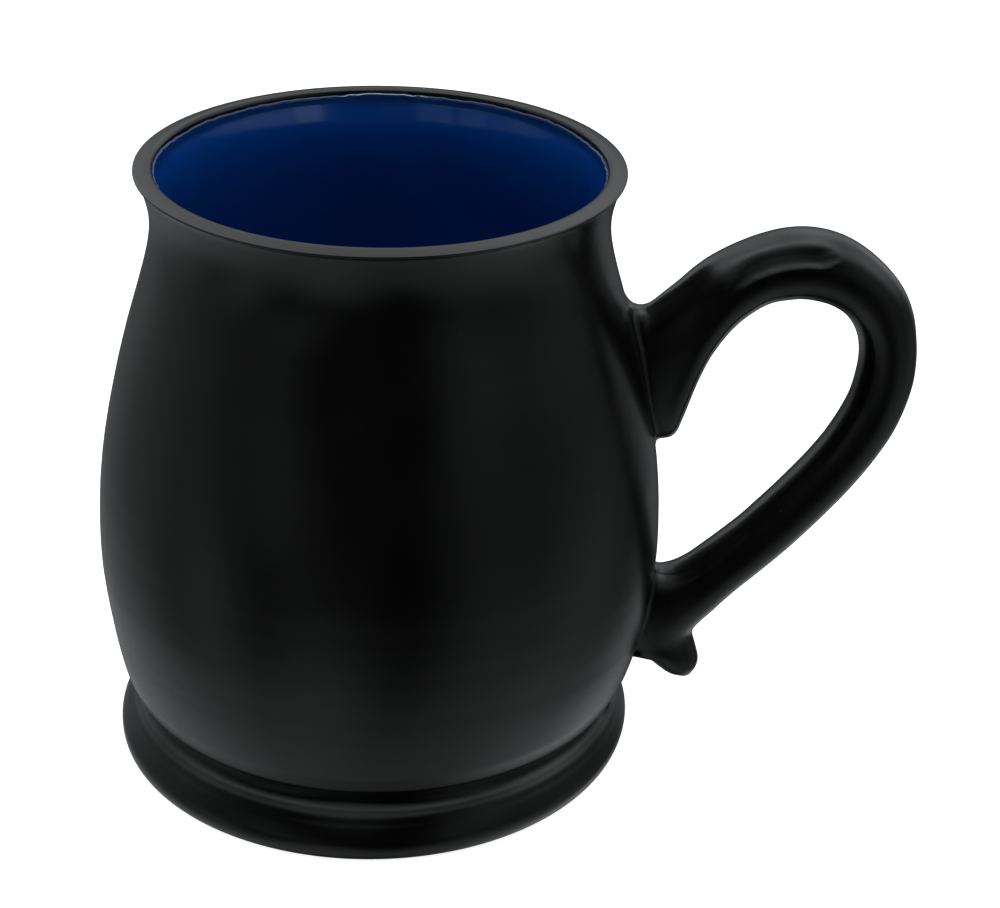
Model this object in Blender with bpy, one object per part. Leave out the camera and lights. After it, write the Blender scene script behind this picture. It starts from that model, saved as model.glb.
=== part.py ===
"""Glazed stoneware mug: a cast barrel body on a moulded foot, a looped handle luted on
with slip, a cobalt gloss lining and a satin black outer glaze.

Frame: metres, +Z up.  The table plane is z = 0 and the origin is the centre of the
footprint box.  The mug's own axis stands at x = AXIS_X, and the handle points along +X.
"""
import math

import bmesh
import bpy
from mathutils import Vector

for item in list(bpy.data.objects):
    bpy.data.objects.remove(item, do_unlink=True)

MM = 0.001

# ---------------------------------------------------------------- driving dimensions
HEIGHT = 108.7 * MM          # table to the crest of the lip
UNIT = HEIGHT / 108.7        # one millimetre of the shape tables below
BELLY_R = 49.45 * UNIT       # widest part of the barrel
HANDLE_REACH = 93.1 * UNIT   # mug axis to the outside of the handle
AXIS_X = (BELLY_R - HANDLE_REACH) / 2.0

GLAZE = 0.5 * MM             # thickness of every glaze coat
GAP = 0.3 * MM               # clearance kept between neighbouring pieces
SEGMENTS = 36                # steps round every turned piece

FOOT_RING_OUT = 43.4 * UNIT  # bare ring that the mug stands on
FOOT_RING_IN = 40.6 * UNIT
RECESS_Z = 3.2 * UNIT        # ceiling of the hollow under the foot
FLOOR_Z = 7.0 * UNIT         # inside floor, on top of the lining

# Outside of the mug, (radius, height) in millimetres, from the foot up and over the lip.
OUTSIDE = [
    (44.9, 0.4), (46.2, 1.5), (46.65, 3.3), (46.1, 5.2), (44.8, 7.3),
    (44.45, 8.7), (43.5, 10.3), (42.2, 11.7), (43.3, 13.4), (45.5, 15.6),
    (47.1, 20.5), (48.6, 29.2), (49.45, 39.0), (49.2, 48.0), (48.1, 57.4),
    (46.35, 67.0), (44.0, 76.7), (41.5, 85.3), (39.3, 92.9), (38.35, 98.6),
    (38.8, 102.2), (39.9, 105.3), (40.8, 107.2), (40.4, 108.3),
    (39.4, 108.7), (38.4, 108.2), (37.8, 107.0),
]
# Inside of the mug, from just under the lip down to the middle of the floor.
INSIDE = [
    (37.7, 106.5), (36.6, 103.7), (35.2, 99.2), (35.9, 93.5), (38.3, 85.0),
    (40.7, 76.5), (42.9, 67.0), (44.6, 57.0), (45.7, 45.0), (45.5, 33.5),
    (44.0, 24.0), (41.3, 16.5), (36.5, 10.8), (29.0, 7.9), (18.0, 7.0),
]

# Handle sections, in order from the upper root over the loop to the lower root: the point
# on the outer edge (x from the mug axis, z), the point on the inner edge, and the half
# width across, all in millimetres.  The first ones spread the root into a tongue that lies
# down the barrel, and the last ones spread it again where it comes home.
HANDLE = [
    (40.0, 82.0, 44.6, 57.2, 4.4), (45.4, 83.0, 49.8, 57.5, 4.7),
    (48.2, 84.9, 51.7, 58.6, 5.0), (51.0, 87.3, 53.5, 64.5, 5.4),
    (54.1, 90.2, 55.9, 71.5, 5.7), (57.6, 92.5, 60.1, 78.7, 5.9),
    (62.5, 94.9, 64.8, 83.0, 6.0), (68.4, 96.6, 69.7, 84.6, 6.1),
    (75.8, 96.2, 74.2, 84.5, 6.0), (83.1, 93.1, 78.4, 82.7, 5.8),
    (89.6, 86.8, 81.0, 80.0, 5.6), (92.7, 78.2, 82.8, 76.1, 5.4),
    (92.9, 70.2, 83.0, 70.7, 5.3), (91.2, 62.1, 81.9, 65.9, 5.2),
    (86.6, 52.6, 78.1, 57.9, 5.1), (80.6, 44.4, 72.9, 50.8, 5.1),
    (74.5, 37.1, 67.0, 43.9, 5.1), (67.4, 29.9, 60.5, 37.3, 5.1),
    (62.0, 24.6, 55.6, 32.9, 5.2), (57.4, 19.2, 52.2, 30.9, 5.2),
    (50.4, 13.6, 49.4, 31.0, 5.0), (42.0, 13.6, 43.0, 30.4, 4.6),
]
# The drop that finishes the handle below its lower root, in sections of the same kind.
DROP = [
    (55.8, 23.0, 50.4, 20.6, 3.4), (57.2, 19.0, 48.2, 15.2, 3.9),
    (58.4, 15.5, 49.9, 11.5, 3.9), (58.8, 12.4, 52.4, 9.7, 3.5),
    (58.1, 9.8, 54.6, 8.8, 2.2),
]
HANDLE_SIDES = 12


# ---------------------------------------------------------------- materials
def material(name, colour, roughness, coat=0.0):
    mat = bpy.data.materials.new(name)
    mat.use_nodes = True
    shader = mat.node_tree.nodes["Principled BSDF"]
    shader.inputs["Base Color"].default_value = (*colour, 1.0)
    shader.inputs["Roughness"].default_value = roughness
    shader.inputs["Metallic"].default_value = 0.0
    shader.inputs["Coat Weight"].default_value = coat
    mat.diffuse_color = (*colour, 1.0)
    return mat


CLAY = material("stoneware", (0.62, 0.55, 0.46), 0.85)
SLIP = material("joining_slip", (0.50, 0.44, 0.37), 0.9)
HANDLE_CLAY = material("handle_stoneware", (0.60, 0.53, 0.44), 0.85)
BLACK = material("satin_black_glaze", (0.012, 0.012, 0.014), 0.42)
HANDLE_BLACK = material("handle_black_glaze", (0.012, 0.012, 0.014), 0.38)
BASE_BLACK = material("underside_black_glaze", (0.012, 0.012, 0.014), 0.45)
COBALT = material("cobalt_gloss_glaze", (0.0, 0.022, 0.17), 0.08, 0.5)


# ---------------------------------------------------------------- turned shapes
def metres(pairs):
    return [(r * UNIT, z * UNIT) for r, z in pairs]


def moved(profile, distance):
    """The profile moved square to itself; a positive distance goes to its right-hand
    side when it is walked from first to last."""
    out = []
    last = len(profile) - 1
    for i, (r, z) in enumerate(profile):
        r0, z0 = profile[max(i - 1, 0)]
        r1, z1 = profile[min(i + 1, last)]
        run, rise = r1 - r0, z1 - z0
        length = math.hypot(run, rise)
        out.append((r + rise / length * distance, z - run / length * distance))
    return out


def turned(name, loop, mat):
    """A closed (radius, height) loop spun round the mug's axis."""
    bm = bmesh.new()
    verts = [bm.verts.new((r, 0.0, z)) for r, z in loop]
    edges = [bm.edges.new((verts[i], verts[(i + 1) % len(verts)])) for i in range(len(verts))]
    edges = [e for e in edges if max(v.co.x for v in e.verts) > 1e-7]
    bmesh.ops.spin(bm, geom=verts + edges, cent=(0, 0, 0), axis=(0, 0, 1),
                   angle=math.tau, steps=SEGMENTS, use_merge=True)
    bmesh.ops.remove_doubles(bm, verts=bm.verts, dist=1e-6)
    bmesh.ops.dissolve_degenerate(bm, edges=bm.edges, dist=1e-7)
    loose = [e for e in bm.edges if not e.link_faces]
    bmesh.ops.delete(bm, geom=loose, context="EDGES")
    return finished(name, bm, mat, (AXIS_X, 0.0, 0.0))


def finished(name, bm, mat, location=(0.0, 0.0, 0.0)):
    bmesh.ops.recalc_face_normals(bm, faces=bm.faces)
    mesh = bpy.data.meshes.new(name)
    bm.to_mesh(mesh)
    bm.free()
    if signed_volume(mesh) < 0.0:
        mesh.flip_normals()
    obj = bpy.data.objects.new(name, mesh)
    bpy.context.collection.objects.link(obj)
    obj.location = location
    if mat:
        mesh.materials.append(mat)
    mesh.shade_smooth()
    mesh.set_sharp_from_angle(angle=math.radians(35.0))
    return obj


def signed_volume(mesh):
    total = 0.0
    for face in mesh.polygons:
        corners = [mesh.vertices[i].co for i in face.vertices]
        for a, b in zip(corners[1:-1], corners[2:]):
            total += corners[0].dot(a.cross(b))
    return total


# ---------------------------------------------------------------- swept shapes
def section(outer, inner, half_across, grow, square):
    """A rounded section from its outer edge to its inner edge, in a plane through Y."""
    outer, inner = Vector((outer[0], 0.0, outer[1])), Vector((inner[0], 0.0, inner[1]))
    centre = (outer + inner) / 2.0
    half = (outer - inner) / 2.0
    half = half * (1.0 + grow / half.length)
    points = []
    for k in range(HANDLE_SIDES):
        t = math.tau * k / HANDLE_SIDES
        c, s = math.cos(t), math.sin(t)
        a = math.copysign(abs(c) ** (2.0 / square), c)
        b = math.copysign(abs(s) ** (2.0 / square), s)
        points.append(centre + half * a + Vector((0.0, (half_across + grow) * b, 0.0)))
    return points


def lofted(name, sections, mat):
    bm = bmesh.new()
    rings = [[bm.verts.new(p) for p in ring] for ring in sections]
    n = len(rings[0])
    for low, high in zip(rings[:-1], rings[1:]):
        for k in range(n):
            bm.faces.new((low[k], low[(k + 1) % n], high[(k + 1) % n], high[k]))
    bm.faces.new(rings[0])
    bm.faces.new(rings[-1])
    return finished(name, bm, mat, (AXIS_X, 0.0, 0.0))


def swept_sections(table, grow, square):
    return [section((x0 * UNIT, z0 * UNIT), (x1 * UNIT, z1 * UNIT), half * UNIT, grow, square)
            for x0, z0, x1, z1, half in table]


# ---------------------------------------------------------------- joining and cutting
def apply_boolean(obj, other, operation):
    mod = obj.modifiers.new(operation, "BOOLEAN")
    mod.object = other
    mod.operation = operation
    mod.solver = "EXACT"
    depsgraph = bpy.context.evaluated_depsgraph_get()
    result = bpy.data.meshes.new_from_object(obj.evaluated_get(depsgraph))
    obj.modifiers.remove(mod)
    old = obj.data
    name = old.name
    obj.data = result
    bpy.data.meshes.remove(old)
    result.name = name
    bm = bmesh.new()
    bm.from_mesh(result)
    bmesh.ops.remove_doubles(bm, verts=bm.verts, dist=2e-6)
    bmesh.ops.dissolve_degenerate(bm, edges=bm.edges, dist=1e-6)
    bm.to_mesh(result)
    bm.free()
    result.shade_smooth()
    result.set_sharp_from_angle(angle=math.radians(35.0))


def discard(*objects):
    for obj in objects:
        bpy.data.objects.remove(obj, do_unlink=True)


def loop_of(outer, inner):
    return list(outer) + list(reversed(inner))


outside = metres(OUTSIDE)
inside = metres(INSIDE)


def barrel_plug(name, distance):
    """The barrel as a solid plug, its side standing `distance` outside the clay."""
    side = [p for p in moved(outside, distance - GLAZE - GAP) if p[1] < 106.0 * UNIT]
    loop = [(0.0, side[0][1])] + side + [(0.0, side[-1][1])]
    return turned(name, loop, None)


def handle_solid(name, grow, mat=None):
    loop = lofted(name, swept_sections(HANDLE, grow, 2.25), mat)
    drop = lofted(name + "_drop", swept_sections(DROP, grow, 2.0), mat)
    apply_boolean(loop, drop, "UNION")
    discard(drop)
    return loop


# ---------------------------------------------------------------- the mug
# Outer glaze: from above the bare foot ring, up the barrel, over the lip to the glaze line.
exterior_glaze = turned(
    "exterior_glaze", loop_of(outside, moved(outside, -GLAZE)), BLACK)

# Lining: a cup of clear-bodied cobalt glaze on the inside wall and floor.
lining_top = inside + [(0.0, FLOOR_Z)]
lining_under = moved(inside, -GLAZE)
lining_under[0] = (inside[0][0] + GLAZE, inside[0][1])
lining_under = lining_under + [(0.0, FLOOR_Z - GLAZE)]
interior_glaze = turned("interior_glaze", loop_of(lining_top, lining_under), COBALT)

# Clay body: the wall between the two coats, the floor, and the bare foot ring.
clay_out = moved(outside, -(GLAZE + GAP))
clay_in = moved(inside, -(GLAZE + GAP))
clay_out[0] = (FOOT_RING_OUT, 0.0)
clay_wall_out = clay_out[:-2]
clay_wall_in = [p for p in clay_in if p[1] < clay_wall_out[-1][1] - 0.6 * MM]
clay_loop = (
    clay_wall_out + clay_wall_in + [(0.0, FLOOR_Z - GLAZE - GAP)]
    + [(0.0, RECESS_Z), (FOOT_RING_IN - 1.2 * MM, RECESS_Z), (FOOT_RING_IN - 0.3 * MM, 1.6 * MM),
       (FOOT_RING_IN, 0.0)]
)
mug_body = turned("mug_body", clay_loop, CLAY)

# Glaze in the hollow of the foot, inside the bare ring.
base_top = RECESS_Z - GAP
base_glaze = turned(
    "base_glaze",
    [(0.0, base_top), (FOOT_RING_IN - 2.2 * MM, base_top),
     (FOOT_RING_IN - 2.0 * MM, base_top - GLAZE), (0.0, base_top - GLAZE)],
    BASE_BLACK)

# Handle: one cast loop with its tongue and drop, its roots cut to the barrel's curve.
PAD_OUT = 1.2 * MM           # the luting slip stands this far off the clay wall
handle = handle_solid("handle", -(GLAZE + GAP), HANDLE_CLAY)
cutter = barrel_plug("plug_handle", PAD_OUT + GAP)
apply_boolean(handle, cutter, "DIFFERENCE")

# Glaze sleeve over the handle, open at both roots.
handle_glaze = handle_solid("handle_glaze", 0.0, HANDLE_BLACK)
core = handle_solid("glaze_core", -GLAZE)
apply_boolean(handle_glaze, core, "DIFFERENCE")
apply_boolean(handle_glaze, cutter, "DIFFERENCE")
discard(core, cutter)


def slip_joint(name, low, high):
    """A saddle of slip between one root of the handle and the clay wall."""
    pad = handle_solid(name, 0.2 * MM, SLIP)
    bm = bmesh.new()
    bmesh.ops.create_cube(bm, size=1.0)
    for v in bm.verts:
        v.co = Vector((v.co.x * 26.0 * MM + 43.0 * MM, v.co.y * 40.0 * MM,
                       (low + high) / 2.0 + v.co.z * (high - low)))
    window = finished(name + "_window", bm, None, (AXIS_X, 0.0, 0.0))
    cap = barrel_plug(name + "_cap", PAD_OUT)
    seat = barrel_plug(name + "_seat", GAP)
    apply_boolean(pad, cap, "INTERSECT")
    apply_boolean(pad, seat, "DIFFERENCE")
    apply_boolean(pad, window, "INTERSECT")
    discard(window, cap, seat)
    return pad


upper_slip_joint = slip_joint("upper_slip_joint", 48.0 * MM, 96.0 * MM)
lower_slip_joint = slip_joint("lower_slip_joint", 6.0 * MM, 46.0 * MM)

# The outer glaze stops round each root, where clay meets clay.
opening = handle_solid("root_opening", 0.2 * MM + GAP)
apply_boolean(exterior_glaze, opening, "DIFFERENCE")
discard(opening)
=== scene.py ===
import math

import bpy
import numpy as np
from mathutils import Matrix, Vector
from mathutils.bvhtree import BVHTree


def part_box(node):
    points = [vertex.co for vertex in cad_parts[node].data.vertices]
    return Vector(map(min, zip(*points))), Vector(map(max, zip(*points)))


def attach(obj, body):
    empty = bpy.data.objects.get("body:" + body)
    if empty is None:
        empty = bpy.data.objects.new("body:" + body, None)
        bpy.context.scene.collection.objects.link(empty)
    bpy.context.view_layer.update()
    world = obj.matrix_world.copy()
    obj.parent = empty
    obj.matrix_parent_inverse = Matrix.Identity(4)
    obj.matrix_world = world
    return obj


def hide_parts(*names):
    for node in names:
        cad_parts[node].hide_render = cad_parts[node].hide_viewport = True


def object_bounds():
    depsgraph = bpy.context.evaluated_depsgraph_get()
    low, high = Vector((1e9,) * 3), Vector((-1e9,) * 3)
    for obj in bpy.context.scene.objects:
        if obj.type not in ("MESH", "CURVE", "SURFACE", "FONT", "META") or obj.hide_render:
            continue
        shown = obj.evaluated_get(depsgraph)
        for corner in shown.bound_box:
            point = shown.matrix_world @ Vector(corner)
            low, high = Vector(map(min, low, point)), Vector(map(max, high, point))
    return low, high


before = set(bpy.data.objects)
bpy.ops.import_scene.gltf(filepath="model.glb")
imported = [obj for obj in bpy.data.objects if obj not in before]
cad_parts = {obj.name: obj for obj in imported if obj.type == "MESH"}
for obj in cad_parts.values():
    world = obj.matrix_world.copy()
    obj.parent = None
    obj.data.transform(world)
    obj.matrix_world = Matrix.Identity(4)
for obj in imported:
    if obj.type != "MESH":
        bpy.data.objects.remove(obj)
cad_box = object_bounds()

MM = 0.001
low, high = cad_box
body_low, body_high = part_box("exterior_glaze")
AXIS = (body_low.x + body_high.x) / 2 / MM        # x of the mug's turning axis, mm
TOP = high.z / MM                                 # height of the lip, mm
PIECES = {}


# ---------------------------------------------------------------- curves
def curve_through(points, step):
    """Centripetal Catmull-Rom curve through points, sampled about every step."""
    p = np.array(points, float)
    p = np.vstack([2 * p[0] - p[1], p, 2 * p[-1] - p[-2]])
    out = []
    for i in range(1, len(p) - 2):
        a, b, c, d = p[i - 1], p[i], p[i + 1], p[i + 2]
        t0 = 0.0
        t1 = t0 + math.sqrt(np.linalg.norm(b - a)) + 1e-9
        t2 = t1 + math.sqrt(np.linalg.norm(c - b)) + 1e-9
        t3 = t2 + math.sqrt(np.linalg.norm(d - c)) + 1e-9
        n = max(1, int(round(np.linalg.norm(c - b) / step)))
        for k in range(n):
            t = t1 + (t2 - t1) * k / n
            a1 = (t1 - t) / (t1 - t0) * a + (t - t0) / (t1 - t0) * b
            a2 = (t2 - t) / (t2 - t1) * b + (t - t1) / (t2 - t1) * c
            a3 = (t3 - t) / (t3 - t2) * c + (t - t2) / (t3 - t2) * d
            b1 = (t2 - t) / (t2 - t0) * a1 + (t - t0) / (t2 - t0) * a2
            b2 = (t3 - t) / (t3 - t1) * a2 + (t - t1) / (t3 - t1) * a3
            out.append((t2 - t) / (t2 - t1) * b1 + (t - t1) / (t2 - t1) * b2)
    out.append(p[-2])
    return np.array(out)


def offset_left(path, distance):
    """The path moved sideways, to its left as it runs."""
    t = np.gradient(path, axis=0)
    t /= np.linalg.norm(t, axis=1)[:, None] + 1e-12
    return path + distance * np.stack([-t[:, 1], t[:, 0]], 1)


def smoothstep(x, a, b):
    t = np.clip((np.asarray(x, float) - a) / (b - a), 0, 1)
    return t * t * (3 - 2 * t)


# ---------------------------------------------------------------- the turned outline, mm
# radius and height from under the foot up the outside, over the lip and a little down inside
FOOT = [(43.75, 0.30), (44.2, 0.06), (44.82, 0.08), (45.52, 0.50), (46.08, 1.30), (46.38, 2.30), (46.46, 3.20),
        (46.39, 3.90), (46.22, 4.48), (45.97, 5.12), (45.66, 5.86), (45.33, 6.58), (44.93, 7.28), (44.66, 7.84),
        (44.50, 8.12), (44.33, 8.36), (44.10, 8.62), (43.90, 8.88), (43.72, 9.12), (43.42, 9.42), (43.10, 9.82),
        (42.86, 10.24), (42.68, 10.72), (42.56, 11.22), (42.47, 11.72), (42.42, 12.15), (42.58, 12.46), (43.10, 12.74),
        (43.90, 13.02), (44.48, 13.28), (44.84, 13.66), (45.10, 14.18), (45.45, 15.02), (45.86, 16.05), (46.32, 17.20)]
WALL = [(46.32, 17.2), (47.15, 20.6), (47.95, 24.6), (48.62, 29.2), (49.20, 34.5), (49.43, 39.5), (49.32, 45.0),
        (48.95, 51.0), (48.17, 57.4), (47.30, 62.4), (46.34, 67.0), (45.25, 71.8), (44.00, 76.7), (42.80, 81.0),
        (41.48, 85.3), (40.35, 89.1), (39.30, 92.9), (38.62, 96.2), (38.36, 99.2), (38.55, 102.0), (39.10, 104.4),
        (39.66, 106.1)]
LIP = [(39.90, 106.80), (40.06, 107.20), (40.18, 107.42), (40.36, 107.56), (40.60, 107.68), (40.78, 107.84),
       (40.85, 107.98), (40.82, 108.12), (40.66, 108.24), (40.30, 108.34), (39.80, 108.45), (39.30, 108.56),
       (38.85, 108.64), (38.40, 108.67), (38.02, 108.62), (37.76, 108.47), (37.60, 108.22), (37.52, 107.92),
       (37.48, 107.50), (37.42, 107.10), (37.36, 106.60)]
# the cavity, from the glaze line inside the lip down to the middle of the floor
CAVITY = [(37.40, 107.60), (37.02, 106.3), (36.64, 105.1), (36.32, 104.0), (36.06, 102.9), (35.92, 101.5), (35.88, 100.0),
          (35.92, 98.4), (36.10, 96.4), (36.50, 94.0), (37.20, 90.8), (38.15, 87.2), (39.25, 83.2), (40.40, 78.8),
          (41.55, 74.2), (42.60, 69.2), (43.60, 63.8), (44.50, 57.6), (45.25, 51.0), (45.70, 45.0), (45.80, 39.0),
          (45.45, 33.0), (44.95, 28.4), (43.95, 23.8), (42.70, 19.8), (41.10, 16.2), (39.00, 13.0), (36.30, 10.7),
          (33.00, 9.1), (29.00, 8.05), (24.0, 7.40), (18.0, 7.08), (11.0, 6.95), (5.0, 6.92), (0.0, 6.92)]
scale = TOP / 108.7


def settle(path, width):
    """Small kinks eased out of an evenly sampled path; width in samples."""
    n = int(width * 3)
    k = np.exp(-0.5 * (np.arange(-n, n + 1) / width) ** 2)
    k /= k.sum()
    q = np.vstack([2 * path[0] - path[n:0:-1], path, 2 * path[-1] - path[-2:-n - 2:-1]])
    out = np.stack([np.convolve(q[:, c], k, "valid") for c in (0, 1)], 1)
    out[0], out[-1] = path[0], path[-1]
    return out


foot_path = settle(curve_through(FOOT, 0.15), 1.3)
wall_path = settle(curve_through(WALL, 0.40), 4.5)
lip_path = settle(curve_through([WALL[-1]] + LIP, 0.11), 1.3)
joined = np.vstack([foot_path[:-1], wall_path[:-1], lip_path])
smooth_all = settle(joined, 2.0)
z_ = joined[:, 1]
mix = (smoothstep(z_, 14.5, 17.0) * (1 - smoothstep(z_, 105.6, 106.6)))[:, None]
outside = (joined * (1 - mix) + smooth_all * mix) * scale
cavity = settle(curve_through(CAVITY, 0.60), 1.5) * scale

wall_only = outside[: int(np.argmax(outside[:, 1] > 106.5 * scale))]
order = np.argsort(wall_only[:, 1])
WALL_Z, WALL_R = wall_only[order, 1], wall_only[order, 0]


def lean(z):
    """How far the turned foot sits off the axis of the body, mm."""
    z = np.asarray(z, float)
    return -(1.38 - 0.25 * smoothstep(z, 0.0, 4.5)) * np.clip(1 - z / 27.0, 0, 1) ** 1.15


def unevenness(angle, z):
    """Faint out-of-round and throwing rings left by hand, mm."""
    fade = smoothstep(z, 16, 26) * (1 - smoothstep(z, 94, 102))
    rings = (0.0055 * np.sin(z * 0.83 + 0.7 * np.sin(z * 0.11) + angle)
             + 0.0035 * np.sin(z * 1.57 + 2.1 + 1.3 * np.sin(angle + 0.4)))
    oval = 0.04 * np.sin(2 * angle + 0.6 + z * 0.02) + 0.02 * np.sin(3 * angle + 2.0 - z * 0.03)
    return fade * (rings + oval)


def wall_radius(angle, z):
    return np.interp(z, WALL_Z, WALL_R) + unevenness(angle, z)


# ---------------------------------------------------------------- meshes
def mesh_piece(name, verts, faces, material, smooth=True):
    mesh = bpy.data.meshes.new(name)
    verts = np.asarray(verts, float) * MM
    faces = [tuple(int(i) for i in f) for f in faces] if not isinstance(faces, np.ndarray) else faces
    if isinstance(faces, np.ndarray):
        n = len(faces)
        mesh.vertices.add(len(verts))
        mesh.vertices.foreach_set("co", verts.ravel())
        mesh.loops.add(n * 4)
        mesh.loops.foreach_set("vertex_index", faces.astype(np.int32).ravel())
        mesh.polygons.add(n)
        mesh.polygons.foreach_set("loop_start", np.arange(0, n * 4, 4, dtype=np.int32))
        mesh.polygons.foreach_set("loop_total", np.full(n, 4, np.int32))
        mesh.update(calc_edges=True)
        mesh.validate()
    else:
        mesh.from_pydata([tuple(v) for v in verts], [], faces)
        mesh.update()
    mesh.polygons.foreach_set("use_smooth", np.full(len(mesh.polygons), smooth))
    obj = bpy.data.objects.new(name, mesh)
    bpy.context.scene.collection.objects.link(obj)
    obj.data.materials.append(material)
    PIECES[name] = obj
    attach(obj, "root")
    return obj


def revolve(rings, segments, shape=None):
    """Closed band of rings (radius, height), each ring joined to the next and the last to the first."""
    ang = np.arange(segments) * 2 * math.pi / segments
    r = np.asarray(rings, float)
    R = np.repeat(r[:, :1], segments, 1)
    Z = np.repeat(r[:, 1:2], segments, 1)
    A = np.repeat(ang[None, :], len(r), 0)
    if shape is not None:
        R, Z = shape(R, Z, A)
    X = AXIS + lean(Z) + R * np.cos(A)
    Y = R * np.sin(A)
    verts = np.stack([X, Y, Z], -1).reshape(-1, 3)
    n, m = len(r), segments
    i = np.arange(n)[:, None]
    j = np.arange(m)[None, :]
    i2, j2 = (i + 1) % n, (j + 1) % m
    quads = np.stack([i * m + j, i * m + j2, i2 * m + j2, i2 * m + j], -1).reshape(-1, 4)
    return verts, quads


def cap_centre(path, last_radius):
    """Path cut where it nears the axis."""
    return path[path[:, 0] > last_radius]


# ---------------------------------------------------------------- node helpers
def new_material(name):
    m = bpy.data.materials.new(name)
    m.use_nodes = True
    nodes, links = m.node_tree.nodes, m.node_tree.links
    shader = nodes["Principled BSDF"]
    coords = nodes.new("ShaderNodeTexCoord")
    return m, nodes, links, shader, coords.outputs["Object"]


def noise(nodes, links, vector, size_mm, detail=3.0, rough=0.55, distort=0.0):
    t = nodes.new("ShaderNodeTexNoise")
    t.inputs["Scale"].default_value = 1000.0 / size_mm
    t.inputs["Detail"].default_value = detail
    t.inputs["Roughness"].default_value = rough
    t.inputs["Distortion"].default_value = distort
    links.new(vector, t.inputs["Vector"])
    return t.outputs["Fac"]


def spots(nodes, links, vector, size_mm):
    t = nodes.new("ShaderNodeTexVoronoi")
    t.inputs["Scale"].default_value = 1000.0 / size_mm
    t.inputs["Randomness"].default_value = 1.0
    links.new(vector, t.inputs["Vector"])
    return t.outputs["Distance"], t.outputs["Color"]


def to_range(nodes, links, value, a, b, c, d, smooth=False):
    t = nodes.new("ShaderNodeMapRange")
    t.clamp = True
    if smooth:
        t.interpolation_type = "SMOOTHSTEP"
    links.new(value, t.inputs["Value"])
    for key, v in (("From Min", a), ("From Max", b), ("To Min", c), ("To Max", d)):
        t.inputs[key].default_value = v
    return t.outputs["Result"]


def math_node(nodes, links, kind, a, b):
    t = nodes.new("ShaderNodeMath")
    t.operation = kind
    for k, v in enumerate((a, b)):
        if isinstance(v, (int, float)):
            t.inputs[k].default_value = v
        else:
            links.new(v, t.inputs[k])
    return t.outputs["Value"]


def mix_colour(nodes, links, factor, a, b):
    t = nodes.new("ShaderNodeMix")
    t.data_type = "RGBA"
    links.new(factor, t.inputs[0])
    for socket, v in ((t.inputs[6], a), (t.inputs[7], b)):
        if isinstance(v, tuple):
            socket.default_value = v
        else:
            links.new(v, socket)
    return t.outputs[2]


def bump(nodes, links, height, depth_mm, below=None):
    t = nodes.new("ShaderNodeBump")
    t.inputs["Strength"].default_value = 1.0
    t.inputs["Distance"].default_value = depth_mm * MM
    links.new(height, t.inputs["Height"])
    if below is not None:
        links.new(below, t.inputs["Normal"])
    return t.outputs["Normal"]


# ---------------------------------------------------------------- materials
def satin_black():
    m, nodes, links, shader, at = new_material("satin_black_glaze")
    shader.inputs["IOR"].default_value = 1.5
    cloud = noise(nodes, links, at, 14.0, 4.0, 0.6)
    grain = noise(nodes, links, at, 0.55, 3.0, 0.6)
    ripple = noise(nodes, links, at, 3.2, 2.0, 0.5)
    dist, cell = spots(nodes, links, at, 5.5)
    pin = to_range(nodes, links, dist, 0.0, 0.035, 1.0, 0.0, True)
    split = nodes.new("ShaderNodeSeparateColor")
    links.new(cell, split.inputs[0])
    some = to_range(nodes, links, split.outputs[0], 0.62, 0.64, 0.0, 1.0)
    pin = math_node(nodes, links, "MULTIPLY", pin, some)
    base = mix_colour(nodes, links, to_range(nodes, links, cloud, 0.35, 0.7, 0.0, 1.0),
                      (0.0012, 0.0013, 0.0013, 1), (0.0028, 0.0027, 0.0027, 1))
    base = mix_colour(nodes, links, math_node(nodes, links, "MULTIPLY", pin, 0.6), base, (0.035, 0.036, 0.036, 1))
    links.new(base, shader.inputs["Base Color"])
    rough = to_range(nodes, links, cloud, 0.3, 0.72, 0.205, 0.265)
    rough = math_node(nodes, links, "ADD", rough, to_range(nodes, links, grain, 0.3, 0.7, -0.02, 0.02))
    links.new(rough, shader.inputs["Roughness"])
    n = bump(nodes, links, ripple, 0.010)
    n = bump(nodes, links, grain, 0.004, n)
    n = bump(nodes, links, math_node(nodes, links, "MULTIPLY", pin, -1.0), 0.05, n)
    links.new(n, shader.inputs["Normal"])
    return m


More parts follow.
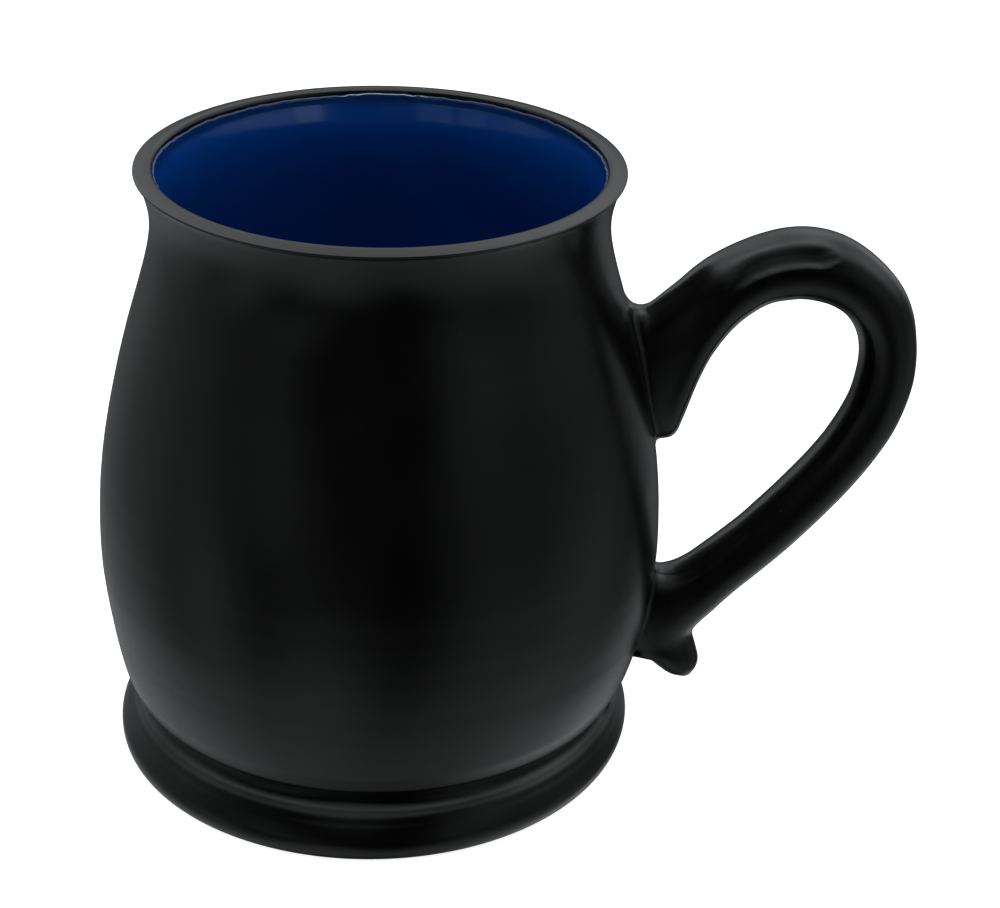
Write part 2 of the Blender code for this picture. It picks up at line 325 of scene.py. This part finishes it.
def cobalt_gloss():
    m, nodes, links, shader, at = new_material("cobalt_gloss_glaze")
    shader.inputs["IOR"].default_value = 1.52
    cloud = noise(nodes, links, at, 22.0, 5.0, 0.6, 0.4)
    mottle = noise(nodes, links, at, 4.5, 4.0, 0.6)
    ripple = noise(nodes, links, at, 6.0, 2.0, 0.5)
    fine = noise(nodes, links, at, 1.1, 2.0, 0.5)
    split = nodes.new("ShaderNodeSeparateXYZ")
    links.new(at, split.inputs[0])
    height = math_node(nodes, links, "ADD", split.outputs["Z"],
                       math_node(nodes, links, "MULTIPLY", cloud, 0.004))
    deep = (0.0006, 0.0380, 0.215, 1)
    light = (0.0009, 0.0490, 0.265, 1)
    thin = (0.0060, 0.0300, 0.0900, 1)
    c = mix_colour(nodes, links, to_range(nodes, links, cloud, 0.35, 0.68, 0.0, 1.0), deep, light)
    c = mix_colour(nodes, links, to_range(nodes, links, mottle, 0.55, 0.8, 0.0, 0.35), c, (0.0010, 0.0550, 0.225, 1))
    c = mix_colour(nodes, links, to_range(nodes, links, height, 0.1074, 0.1098, 0.0, 0.75, True), c, thin)
    links.new(c, shader.inputs["Base Color"])
    # glossiest near the mouth, matter where the glaze pooled deep inside
    rough = math_node(nodes, links, "ADD", to_range(nodes, links, mottle, 0.3, 0.75, 0.10, 0.17),
                      to_range(nodes, links, split.outputs["Z"], 0.050, 0.088, 0.36, 0.0, True))
    links.new(rough, shader.inputs["Roughness"])
    n = bump(nodes, links, ripple, 0.045)
    n = bump(nodes, links, fine, 0.006, n)
    links.new(n, shader.inputs["Normal"])
    return m


def bare_clay():
    m, nodes, links, shader, at = new_material("stoneware")
    shader.inputs["IOR"].default_value = 1.45
    grain = noise(nodes, links, at, 0.8, 6.0, 0.65)
    cloud = noise(nodes, links, at, 16.0, 4.0, 0.6)
    dist, cell = spots(nodes, links, at, 2.2)
    speck = to_range(nodes, links, dist, 0.0, 0.16, 1.0, 0.0, True)
    c = mix_colour(nodes, links, to_range(nodes, links, cloud, 0.3, 0.7, 0.0, 1.0),
                   (0.19, 0.155, 0.115, 1), (0.27, 0.225, 0.175, 1))
    c = mix_colour(nodes, links, to_range(nodes, links, grain, 0.35, 0.7, 0.0, 0.5), c, (0.13, 0.10, 0.075, 1))
    c = mix_colour(nodes, links, math_node(nodes, links, "MULTIPLY", speck, 0.7), c, (0.05, 0.035, 0.025, 1))
    links.new(c, shader.inputs["Base Color"])
    links.new(to_range(nodes, links, grain, 0.3, 0.7, 0.78, 0.94), shader.inputs["Roughness"])
    links.new(bump(nodes, links, grain, 0.09), shader.inputs["Normal"])
    return m


BLACK = satin_black()
BLUE = cobalt_gloss()
CLAY = bare_clay()


# ---------------------------------------------------------------- black coat over the outside and the lip
SEGMENTS = 288
inner_side = offset_left(outside, 0.42)[::-3]


def uneven(R, Z, A):
    return R + unevenness(A, Z), Z


verts, quads = revolve(np.vstack([outside, inner_side]), SEGMENTS, uneven)
exterior = mesh_piece("exterior_skin", verts, quads, BLACK)
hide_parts("exterior_glaze")


# ---------------------------------------------------------------- blue coat inside, with its rolled uneven edge
rng = np.random.default_rng(7)
EDGE_WAVES = [(k, rng.uniform(0, 2 * math.pi), rng.uniform(0.4, 1.0)) for k in (3, 5, 8, 13, 21, 34, 55, 72, 96)]


def glaze_line(angle):
    """Height of the blue edge above its mean, mm."""
    out = np.zeros_like(angle)
    for k, phase, size in EDGE_WAVES:
        out += size * (0.075 if k < 20 else 0.045) * np.sin(k * angle + phase)
    return out


edge = np.array([(37.86, 106.90), (37.74, 107.36), (37.58, 107.66), (37.40, 107.72), (37.24, 107.60),
                 (37.15, 107.34)]) * scale
keep = cavity[cavity[:, 1] < 106.75 * scale]
surface = np.vstack([curve_through(np.vstack([edge, keep[:1]]), 0.09)[:-1], cap_centre(keep, 0.015)])
back_side = cap_centre(offset_left(keep[2:], 0.45), 0.015)[::-2]
cavity_loop = np.vstack([surface, back_side])


def edge_shape(R, Z, A):
    near = smoothstep(Z, 105.0, 107.2)
    Z = Z + near * glaze_line(A)
    lumps = (0.05 * np.sin(61 * A + 1.0) + 0.05 * np.sin(83 * A + 0.3) + 0.05 * np.sin(127 * A + 2.0)
             + 0.05 * np.sin(17 * A + 0.8))
    R = R - smoothstep(Z, 106.9, 107.4) * np.maximum(0, lumps)
    return R + unevenness(A, Z) * 0.6, Z


verts, quads = revolve(cavity_loop, SEGMENTS, edge_shape)
lining = mesh_piece("interior_lining", verts, quads, BLUE)
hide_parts("interior_glaze")

# ---------------------------------------------------------------- the clay between the coats, bare at the foot ring
clay_out = offset_left(outside, 0.20)
clay_out = clay_out[: int(np.argmax(outside[:, 0] * (outside[:, 1] > 106 * scale)))]
clay_out = clay_out[clay_out[:, 1] > 0.9][::2]
RING = [(39.6, 3.1), (40.05, 2.2), (40.35, 1.1), (40.8, 0.32), (41.4, 0.04), (42.2, 0.0), (43.1, 0.02), (43.85, 0.16),
        (44.3, 0.55)]
ring = curve_through(RING, 0.25) * scale
under = curve_through([(0.015, 3.35), (12.0, 3.34), (24.0, 3.30), (34.0, 3.24), (39.0, 3.18)], 1.5) * scale
clay_in = offset_left(keep[1:], 0.22)
clay_in = cap_centre(clay_in, 0.015)[::2]
lip_top = np.array([(40.2, 108.0), (39.4, 108.2), (38.5, 108.25), (38.1, 107.8)]) * scale
verts, quads = revolve(np.vstack([under, ring, clay_out, lip_top, clay_in]), 192)
clay = mesh_piece("clay_body", verts, quads, CLAY)
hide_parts("mug_body")

# ---------------------------------------------------------------- black coat in the hollow under the foot
hollow = curve_through([(0.015, 2.92), (10.0, 2.93), (22.0, 2.90), (32.0, 2.84), (36.5, 2.74), (38.4, 2.45), (39.35, 1.95),
                        (39.95, 1.35), (40.22, 1.05), (40.40, 1.12), (40.30, 1.45)], 0.5) * scale
hollow_back = curve_through([(40.0, 2.6), (39.3, 3.25), (34.0, 3.30), (22.0, 3.38), (10.0, 3.42), (0.015, 3.42)], 1.0) * scale


def wiped(R, Z, A):
    edge_in = smoothstep(R, 38.5, 40.2)
    return R - edge_in * (0.25 * np.sin(3 * A + 1.1) + 0.12 * np.sin(11 * A) + 0.25) * 0.6, Z


verts, quads = revolve(np.vstack([hollow, hollow_back]), 192, wiped)
hollow_glaze = mesh_piece("foot_hollow_glaze", verts, quads, BLACK)
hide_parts("base_glaze")


# ---------------------------------------------------------------- the handle
# outer edge x, z and inner edge x, z (x from the mug axis, in the plane y = 0), half width, mm
HANDLE = [
    (39.0, 80.4, 42.5, 60.6, 4.2), (42.8, 81.6, 46.4, 58.6, 4.5), (46.0, 83.2, 49.7, 57.7, 4.9),
    (48.4, 85.25, 51.6, 58.6, 5.3), (50.7, 87.2, 52.8, 61.8, 5.6), (53.0, 89.4, 53.8, 65.3, 5.8),
    (55.5, 91.4, 55.0, 69.3, 5.9), (58.2, 93.0, 57.0, 74.2, 6.0), (61.4, 94.5, 60.9, 79.9, 6.0),
    (64.9, 95.8, 65.9, 83.75, 6.05), (69.0, 96.8, 69.9, 84.65, 6.1), (72.9, 96.95, 71.8, 84.75, 6.1),
    (76.6, 96.3, 73.6, 84.55, 6.05), (80.3, 94.8, 76.1, 83.9, 5.95), (83.7, 92.55, 78.1, 82.95, 5.85),
    (86.95, 89.6, 79.7, 81.75, 5.7), (89.7, 86.15, 81.0, 80.2, 5.6), (91.6, 82.05, 82.05, 78.3, 5.5),
    (92.6, 77.6, 82.75, 76.2, 5.4), (93.05, 73.4, 83.1, 73.6, 5.35), (93.0, 69.6, 83.0, 70.9, 5.3),
    (92.4, 65.9, 82.6, 68.1, 5.25), (91.4, 62.2, 82.0, 65.6, 5.2), (90.1, 58.8, 81.0, 63.0, 5.2),
    (88.5, 55.7, 79.8, 60.5, 5.15), (86.8, 52.8, 78.3, 57.8, 5.15), (84.95, 50.0, 76.7, 55.4, 5.1),
    (82.95, 47.2, 74.9, 52.95, 5.1), (80.9, 44.6, 73.0, 50.6, 5.1), (78.85, 42.1, 71.0, 48.2, 5.1),
    (76.8, 39.7, 69.0, 45.9, 5.1), (74.65, 37.25, 66.9, 43.6, 5.1), (72.4, 34.85, 64.8, 41.3, 5.1),
    (70.05, 32.5, 62.6, 39.2, 5.15), (67.7, 30.2, 60.4, 37.2, 5.2), (65.3, 27.9, 58.1, 35.2, 5.25),
    (62.8, 25.3, 55.7, 33.2, 5.3), (60.2, 22.3, 53.4, 31.9, 5.3), (56.4, 18.6, 51.3, 31.4, 5.2),
    (51.0, 15.6, 48.9, 31.3, 5.0), (45.0, 14.8, 45.4, 30.9, 4.7), (40.5, 15.4, 42.0, 29.6, 4.2),
]
# the drop that hangs from the lower end of the handle
DROP = [
    (54.5, 27.0, 46.0, 25.2, 3.2), (57.0, 22.6, 45.2, 20.2, 3.8), (56.9, 18.9, 44.6, 16.4, 4.15),
    (57.75, 16.1, 45.1, 13.6, 4.25), (58.55, 13.3, 48.7, 12.75, 4.05), (58.8, 12.0, 50.9, 10.95, 3.75),
    (58.6, 10.8, 52.7, 9.55, 3.3), (57.85, 9.4, 54.9, 8.70, 2.1),
]
ROUND = 72


def loft(table, power_in, power_out, step, tip=0.25):
    """Closed tube through the sections, each a superellipse in its own plane."""
    t = curve_through(np.array(table, float), step)
    o, i, b = t[:, 0:2], t[:, 2:4], t[:, 4]
    c, h = (o + i) / 2, (o - i) / 2
    a = np.arange(ROUND) * 2 * math.pi / ROUND
    ca, sa = np.cos(a), np.sin(a)
    rings = []
    for k in range(len(t)):
        u = np.sign(ca) * np.abs(ca) ** (2 / power_out)
        v = np.sign(sa) * np.abs(sa) ** (2 / power_in)
        p = c[k][None, :] + u[:, None] * h[k][None, :]
        rings.append(np.stack([p[:, 0], v * b[k], p[:, 1]], -1))
    # the last ring is rounded over with two smaller ones
    def shrunk(ring, towards, f, push):
        m = ring.mean(0)
        return m + (ring - m) * f + (towards * push)[None, :]
    d0 = rings[0].mean(0) - rings[1].mean(0)
    d1 = rings[-1].mean(0) - rings[-2].mean(0)
    d0, d1 = d0 / np.linalg.norm(d0), d1 / np.linalg.norm(d1)
    head = [shrunk(rings[0], d0, f, p) for f, p in ((0.15, tip * 2.2), (0.6, tip * 1.8), (0.88, tip))]
    tail = [shrunk(rings[-1], d1, f, p) for f, p in ((0.88, tip), (0.6, tip * 1.8), (0.15, tip * 2.2))]
    rings = head + rings + tail
    verts = np.vstack(rings)
    n = len(rings)
    faces = []
    for k in range(n - 1):
        for j in range(ROUND):
            j2 = (j + 1) % ROUND
            faces.append((k * ROUND + j, k * ROUND + j2, (k + 1) * ROUND + j2, (k + 1) * ROUND + j))
    faces.append(tuple(range(ROUND))[::-1])
    faces.append(tuple((n - 1) * ROUND + j for j in range(ROUND)))
    return verts, faces


def distance_field(verts, faces, X, Y, Z, reach, mask):
    """Signed distance from the closed tube at the grid points in mask, reach elsewhere."""
    tree = BVHTree.FromPolygons([Vector(v) for v in verts], faces)
    quads_ = np.array([f for f in faces if len(f) == 4])
    p0, p1, p2, p3 = (verts[quads_[:, k]] for k in range(4))
    volume = (np.einsum("ij,ij->i", p0, np.cross(p1, p2)) + np.einsum("ij,ij->i", p0, np.cross(p2, p3))).sum()
    side = 1.0 if volume > 0 else -1.0
    out = np.full(X.shape, reach, float)
    idx = np.argwhere(mask)
    vals = np.empty(len(idx))
    find = tree.find_nearest
    px, py, pz = X[mask], Y[mask], Z[mask]
    for n in range(len(idx)):
        p = Vector((px[n], py[n], pz[n]))
        hit, normal, _, dist = find(p, reach)
        if hit is None:
            vals[n] = reach
        else:
            vals[n] = dist if (p - hit).dot(normal) * side > 0 else -dist
    out[mask] = vals
    return out


def smooth_min(a, b, k):
    h = np.clip(0.5 + 0.5 * (b - a) / k, 0, 1)
    return b + (a - b) * h - k * h * (1 - h)


def surface_nets(f, start, h):
    """Quads on the zero surface of the samples f (negative inside)."""
    s = f < 0
    shape = tuple(n - 1 for n in f.shape)
    corners = [(i, j, k) for i in (0, 1) for j in (0, 1) for k in (0, 1)]

    def at(a, c):
        return a[c[0]: c[0] + shape[0], c[1]: c[1] + shape[1], c[2]: c[2] + shape[2]]

    count = sum(at(s, c).astype(np.int8) for c in corners)
    active = (count > 0) & (count < 8)
    ids = np.full(shape, -1, np.int64)
    ids[active] = np.arange(active.sum())
    acc = np.zeros((active.sum(), 3))
    num = np.zeros(active.sum())
    for a in corners:
        for axis in range(3):
            if a[axis] == 1:
                continue
            b = list(a)
            b[axis] = 1
            fa, fb = at(f, a)[active], at(f, b)[active]
            cross = (fa < 0) != (fb < 0)
            t = np.where(cross, fa / np.where(cross, fa - fb, 1), 0)
            p = np.zeros((len(fa), 3)) + np.array(a, float)
            p[:, axis] += t
            acc[cross] += p[cross]
            num[cross] += 1
    cells = np.argwhere(active)
    verts = (cells + acc / num[:, None]) * h + start
    quads = []
    for axis in range(3):
        u, v = [(1, 2), (2, 0), (0, 1)][axis]
        lo = [slice(None)] * 3
        hi = [slice(None)] * 3
        lo[axis], hi[axis] = slice(0, -1), slice(1, None)
        a, b = s[tuple(lo)], s[tuple(hi)]
        for inside_first in (True, False):
            e = np.argwhere((a & ~b) if inside_first else (~a & b))
            e = e[(e[:, u] > 0) & (e[:, v] > 0) & (e[:, u] < shape[u]) & (e[:, v] < shape[v])]
            if len(e) == 0:
                continue
            ring = []
            for du, dv in ((-1, -1), (0, -1), (0, 0), (-1, 0)):
                q = e.copy()
                q[:, u] += du
                q[:, v] += dv
                ring.append(ids[q[:, 0], q[:, 1], q[:, 2]])
            ring = np.stack(ring, -1)
            quads.append(ring if inside_first else ring[:, ::-1])
    return verts, np.vstack(quads)


def without_checkers(f):
    """Fills the few samples where two parts of the surface would touch along a single edge."""
    f = f.copy()
    for _ in range(8):
        found = 0
        for u, v in ((0, 1), (1, 2), (0, 2)):
            lo, hi = slice(0, -1), slice(1, None)
            pick = []
            for cu, cv in ((lo, lo), (hi, hi), (lo, hi), (hi, lo)):
                q = [slice(None)] * 3
                q[u], q[v] = cu, cv
                pick.append(tuple(q))
            p = [f[q] < 0 for q in pick]
            for first, second, c, d in ((0, 1, 2, 3), (2, 3, 0, 1)):
                bad = p[first] & p[second] & ~p[c] & ~p[d]
                if bad.any():
                    found += int(bad.sum())
                    view = f[pick[c]]
                    view[bad] = -0.02
                    p[c] = p[c] | bad
        if not found:
            break
    return f


def sample(f, start, h, p):
    g = np.clip((p - start) / h, 0, np.array(f.shape) - 1.001)
    i = g.astype(int)
    w = g - i
    out = 0
    for a in (0, 1):
        for b in (0, 1):
            for c in (0, 1):
                weight = ((w[:, 0] if a else 1 - w[:, 0]) * (w[:, 1] if b else 1 - w[:, 1])
                          * (w[:, 2] if c else 1 - w[:, 2]))
                out = out + weight * f[i[:, 0] + a, i[:, 1] + b, i[:, 2] + c]
    return out


H = 0.45
start = np.array([35.0, -13.05, 2.0])
grid = [np.arange(start[0], 96.5, H), np.arange(start[1], 13.3, H), np.arange(start[2], 100.5, H)]
GX, GY, GZ = np.meshgrid(*grid, indexing="ij")

bar_v, bar_f = loft(HANDLE, 2.25, 2.15, 1.1)
drop_v, drop_f = loft(DROP, 2.0, 2.1, 0.9)


def near_plane(table, reach):
    """Columns of the grid whose x, z lies within reach of the sections."""
    t = curve_through(np.array(table, float), 1.0)
    X2, Z2 = GX[:, 0, :], GZ[:, 0, :]
    d = np.full(X2.shape, 1e9)
    for row in t:
        o, i = row[0:2], row[2:4]
        ab = i - o
        s_ = np.clip(((X2 - o[0]) * ab[0] + (Z2 - o[1]) * ab[1]) / (ab @ ab), 0, 1)
        d = np.minimum(d, np.hypot(X2 - o[0] - s_ * ab[0], Z2 - o[1] - s_ * ab[1]))
    return d < reach


REACH = 6.5
sel = near_plane(HANDLE, REACH)[:, None, :] & (GY > -0.01) & (GY < 12.6)
bar = distance_field(bar_v, bar_f, GX, GY, GZ, REACH, sel)
sel = near_plane(DROP, REACH)[:, None, :] & (GY > -0.01) & (GY < 12.6)
drop = distance_field(drop_v, drop_f, GX, GY, GZ, REACH, sel)
mirror = np.array([np.argmin(np.abs(grid[1] + y)) for y in grid[1]])
for field in (bar, drop):
    neg = grid[1] < -0.01
    field[:, neg, :] = field[:, mirror[neg], :]


def along_and_across(table):
    """For every column of the grid: how far along the sections it lies (x of the centre line) and how far from
    the inner (-1) to the outer (+1) edge."""
    t = curve_through(np.array(table, float), 0.5)
    X2, Z2 = GX[:, 0, :], GZ[:, 0, :]
    best = np.full(X2.shape, 1e9)
    u = np.zeros(X2.shape)
    k_ = np.zeros(X2.shape)
    for n, row in enumerate(t):
        o, i = row[0:2], row[2:4]
        ab = i - o
        s_ = ((X2 - o[0]) * ab[0] + (Z2 - o[1]) * ab[1]) / (ab @ ab)
        c_ = np.clip(s_, -0.15, 1.15)
        d = np.hypot(X2 - o[0] - c_ * ab[0], Z2 - o[1] - c_ * ab[1])
        closer = d < best
        best = np.where(closer, d, best)
        u = np.where(closer, 1 - 2 * s_, u)
        k_ = np.where(closer, n / (len(t) - 1) * (len(table) - 1), k_)
    return k_, u


station, across = along_and_across(HANDLE)
# the place where the thumb rests: a shallow scoop on the near side of the crown, crisp below, rounded at its far end
front = smoothstep(-GY, 1.0, 2.6)
st, ac = station[:, None, :], across[:, None, :]
rise = 0.24 * smoothstep(st, 12.5, 13.5)
scoop = (smoothstep(st, 6.9, 9.3) * (1 - smoothstep(st, 12.4, 13.6))
         * smoothstep(ac - rise, 0.17, 0.40) * (1 - smoothstep(ac, 0.50, 0.90)))
bar = bar + front * 0.62 * scoop

body_angle = np.arctan2(GY, GX - lean(GZ))
body_r = np.hypot(GX - lean(GZ), GY)
slope = np.gradient(WALL_R, WALL_Z + np.arange(len(WALL_Z)) * 1e-7)
slope = np.clip(slope, -1.5, 1.5)
body = (body_r - wall_radius(body_angle, GZ)) / np.sqrt(1 + np.interp(GZ, WALL_Z, slope) ** 2)

handle_field = smooth_min(bar, drop, 2.4)
middle = 1 - smoothstep(np.abs(GY), 1.5, 4.0)
upper_root = 0.6 + 1.1 * middle + smoothstep(GZ, 66, 77) * (1.2 + 1.5 * middle)
BLEND = np.where(GZ > 45, upper_root, 1.6 + 1.1 * middle)
under_skin = body + 0.035
field = smooth_min(handle_field, under_skin, BLEND)
field = np.maximum(field, handle_field - 5.2)
field = np.maximum(field, -(body + 1.5))
field = without_checkers(field)
verts, quads = surface_nets(field, start, H)
for _ in range(3):
    f0 = sample(field, start, H, verts)
    g = np.stack([(sample(field, start, H, verts + d) - sample(field, start, H, verts - d)) / (0.6 * H)
                  for d in np.eye(3) * 0.3 * H], -1)
    move = -f0[:, None] * g / np.maximum((g ** 2).sum(1), 0.25)[:, None]
    length = np.linalg.norm(move, axis=1)[:, None]
    verts = verts + move * np.minimum(1, 0.3 * H / np.maximum(length, 1e-9))
verts = verts + np.array([AXIS, 0, 0])
handle = mesh_piece("handle_skin", verts, quads, BLACK)
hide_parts("handle", "handle_glaze", "upper_slip_joint", "lower_slip_joint")


# ---------------------------------------------------------------- floor and surroundings
def stage_disc(name, profile, segments, material):
    r = np.asarray(profile, float)
    ang = np.arange(segments) * 2 * math.pi / segments
    v = [(p[0] * math.cos(a), p[0] * math.sin(a), p[1]) for p in r for a in ang]
    f = [(i * segments + j, i * segments + (j + 1) % segments, (i + 1) * segments + (j + 1) % segments,
          (i + 1) * segments + j) for i in range(len(r) - 1) for j in range(segments)]
    mesh = bpy.data.meshes.new(name)
    mesh.from_pydata(v, [], f)
    mesh.polygons.foreach_set("use_smooth", [True] * len(f))
    o = bpy.data.objects.new(name, mesh)
    bpy.context.scene.collection.objects.link(o)
    mesh.materials.append(material)
    return o


def pale(name, glow, albedo):
    m = bpy.data.materials.new(name)
    m.use_nodes = True
    s = m.node_tree.nodes["Principled BSDF"]
    s.inputs["Base Color"].default_value = (albedo, albedo, albedo, 1)
    s.inputs["Roughness"].default_value = 0.9
    s.inputs["Specular IOR Level"].default_value = 0.0
    s.inputs["Emission Color"].default_value = (1, 1, 1, 1)
    s.inputs["Emission Strength"].default_value = glow
    return m


floor = stage_disc("floor", [(0.0005, 0), (0.1, 0), (0.3, 0), (0.8, 0), (1.6, 0)], 96, pale("pale_floor", 0.90, 0.6))
sweep_path = [(1.6, 0.0), (1.9, 0.03), (2.15, 0.14), (2.32, 0.34), (2.4, 0.65), (2.4, 2.2), (2.1, 3.0), (1.2, 3.5), (0.001, 3.6)]
sweep = stage_disc("backdrop", sweep_path, 96, pale("pale_backdrop", 1.0, 0.0))
for o in (floor, sweep):
    o.visible_glossy = False
    o.visible_diffuse = False
    o.visible_shadow = False
    o.visible_transmission = False

# ---------------------------------------------------------------- light: a soft studio surround
SOFTNESS = 20.0
LOBES = [
    # azimuth (0 = the near side, 90 = from +X) and elevation of each soft light in degrees, and its brightness;
    # the few below zero are flags that hold light back
    (106, 75, 0.979), (-31, 73, 0.882), (54, 68, 1.189), (-84, 66, 0.998), (139, 65, 0.67), (-136, 61, 0.726),
    (-51, 58, 0.82), (34, 56, 0.601), (-156, 51, 0.47), (151, 47, 0.67), (-91, 40, 0.818), (-6, 38, 0.311),
    (-144, 38, 0.482), (79, 37, 0.812), (163, 35, 0.537), (111, 32, 0.592), (-27, 31, 0.136), (91, 25, 0.513),
    (176, 24, 0.317), (-152, 20, 0.534), (18, 17, -0.149), (-119, 16, 0.326), (-34, 14, -0.216), (51, 13, 0.154),
    (-87, 12, 0.182), (136, 11, 0.803), (-139, 10, 0.362), (31, 7, 0.175), (-42, -1, 0.348), (-9, -5, 0.054),
    (76, -6, 0.075), (-135, -15, 0.08), (-50, -17, -0.23), (-102, -19, 0.235), (-17, -21, -0.106),
    (-70, -23, 0.364), (153, -24, 0.161), (15, -25, -0.068), (100, -26, 0.236), (-37, -27, 0.066),
    (48, -29, 0.151), (-90, -30, -0.212), (-5, -31, 0.103), (80, -33, 0.137), (165, -35, -0.176), (28, -36, 0.126),
    (113, -38, -0.264), (-25, -38, 0.26), (-162, -39, 0.283), (145, -42, 0.11), (8, -43, -0.103),
    (-130, -44, 0.315), (93, -45, -0.109), (-97, -50, 0.427), (125, -51, 0.661), (73, -54, 0.301),
    (-65, -56, 0.174), (20, -58, 0.246), (105, -61, 0.205), (-32, -63, 0.218),
]


def surround(lobes):
    world = bpy.data.worlds.new("studio")
    world.use_nodes = True
    nodes, links = world.node_tree.nodes, world.node_tree.links
    nodes.clear()
    coords = nodes.new("ShaderNodeTexCoord")
    norm = nodes.new("ShaderNodeVectorMath")
    norm.operation = "NORMALIZE"
    links.new(coords.outputs["Generated"], norm.inputs[0])
    total = None
    tight = SOFTNESS
    for az, el, power in lobes:
        a, e = math.radians(az), math.radians(el)
        d = (math.sin(a) * math.cos(e), -math.cos(a) * math.cos(e), math.sin(e))
        dot = nodes.new("ShaderNodeVectorMath")
        dot.operation = "DOT_PRODUCT"
        links.new(norm.outputs[0], dot.inputs[0])
        dot.inputs[1].default_value = d
        m1 = nodes.new("ShaderNodeMath")
        m1.operation = "MULTIPLY_ADD"
        links.new(dot.outputs["Value"], m1.inputs[0])
        m1.inputs[1].default_value = tight
        m1.inputs[2].default_value = -tight
        m2 = nodes.new("ShaderNodeMath")
        m2.operation = "EXPONENT"
        links.new(m1.outputs[0], m2.inputs[0])
        m3 = nodes.new("ShaderNodeMath")
        m3.operation = "MULTIPLY_ADD"
        links.new(m2.outputs[0], m3.inputs[0])
        m3.inputs[1].default_value = power
        if total is None:
            m3.inputs[2].default_value = 0.0
        else:
            links.new(total, m3.inputs[2])
        total = m3.outputs[0]
    clear_of_zero = nodes.new("ShaderNodeMath")
    clear_of_zero.operation = "MAXIMUM"
    links.new(total, clear_of_zero.inputs[0])
    clear_of_zero.inputs[1].default_value = 0.0
    total = clear_of_zero.outputs[0]
    back = nodes.new("ShaderNodeBackground")
    back.inputs["Color"].default_value = (0.965, 1.0, 1.02, 1)
    links.new(total, back.inputs["Strength"])
    out = nodes.new("ShaderNodeOutputWorld")
    links.new(back.outputs[0], out.inputs["Surface"])
    bpy.context.scene.world = world


surround(LOBES)


def window(name, azimuth, elevation, width, height, radiance, tint, distance=1.4):
    """A dim upright light that only the glossy inside answers to, the size of a window pane seen from the mug."""
    data = bpy.data.lights.new(name, "AREA")
    data.shape = "RECTANGLE"
    w, h = 2 * distance * math.tan(math.radians(width / 2)), 2 * distance * math.tan(math.radians(height / 2))
    data.size, data.size_y = w, h
    data.energy = radiance * math.pi * w * h
    data.color = tint
    a, e = math.radians(azimuth), math.radians(elevation)
    d = Vector((math.sin(a) * math.cos(e), -math.cos(a) * math.cos(e), math.sin(e)))
    o = bpy.data.objects.new(name, data)
    bpy.context.scene.collection.objects.link(o)
    o.location = d * distance + Vector((0, 0, 0.1))
    o.rotation_euler = d.to_track_quat("Z", "Y").to_euler()
    o.visible_camera = False
    o.visible_diffuse = False
    o.light_linking.receiver_collection = glossy_inside
    return o


glossy_inside = bpy.data.collections.new("glossy_inside")
glossy_inside.objects.link(lining)
WINDOWS = [
    # azimuth and elevation of the pane's middle, its width and height, degrees, and its brightness
    (38.5, 11, 15, 24, 0.48), (62, 9, 28, 20, 0.18), (-29.5, 12, 19, 24, 0.28), (-50.5, 11, 16, 24, 0.22),
    (-72, 8, 22, 14, 0.10), (0, 58, 30, 30, 9.5),
]
for n, (az, el, w, h, power) in enumerate(WINDOWS):
    window("window_%d" % n, az, el, w, h, power, (0.62, 0.92, 1.0) if power < 1 else (1, 1, 1))

# ---------------------------------------------------------------- camera
PITCH, YAW, ROLL = math.radians(27.145), math.radians(3.379), math.radians(1.594)
fw = Vector((math.sin(YAW) * math.cos(PITCH), math.cos(YAW) * math.cos(PITCH), -math.sin(PITCH)))
right = Vector((math.cos(YAW), -math.sin(YAW), 0))
up = right.cross(fw)
r2 = right * math.cos(ROLL) + up * math.sin(ROLL)
u2 = -right * math.sin(ROLL) + up * math.cos(ROLL)
cam_data = bpy.data.cameras.new("camera")
cam = bpy.data.objects.new("camera", cam_data)
bpy.context.scene.collection.objects.link(cam)
rot = Matrix((r2, u2, -fw)).transposed().to_4x4()
cam.matrix_world = Matrix.Translation(Vector(((AXIS - 0.3) * MM, -333.516 * 1.08 * MM, 221.461 * 1.08 * MM))) @ rot
cam_data.sensor_width = 36.0
cam_data.sensor_fit = "HORIZONTAL"
cam_data.lens = 2297.6 / 1000.0 * 36.0
cam_data.clip_start, cam_data.clip_end = 0.01, 50.0
bpy.context.scene.camera = cam

view = bpy.context.scene.view_settings
view.view_transform = "Standard"
view.look = "None"
view.exposure = 0.0
view.gamma = 1.0
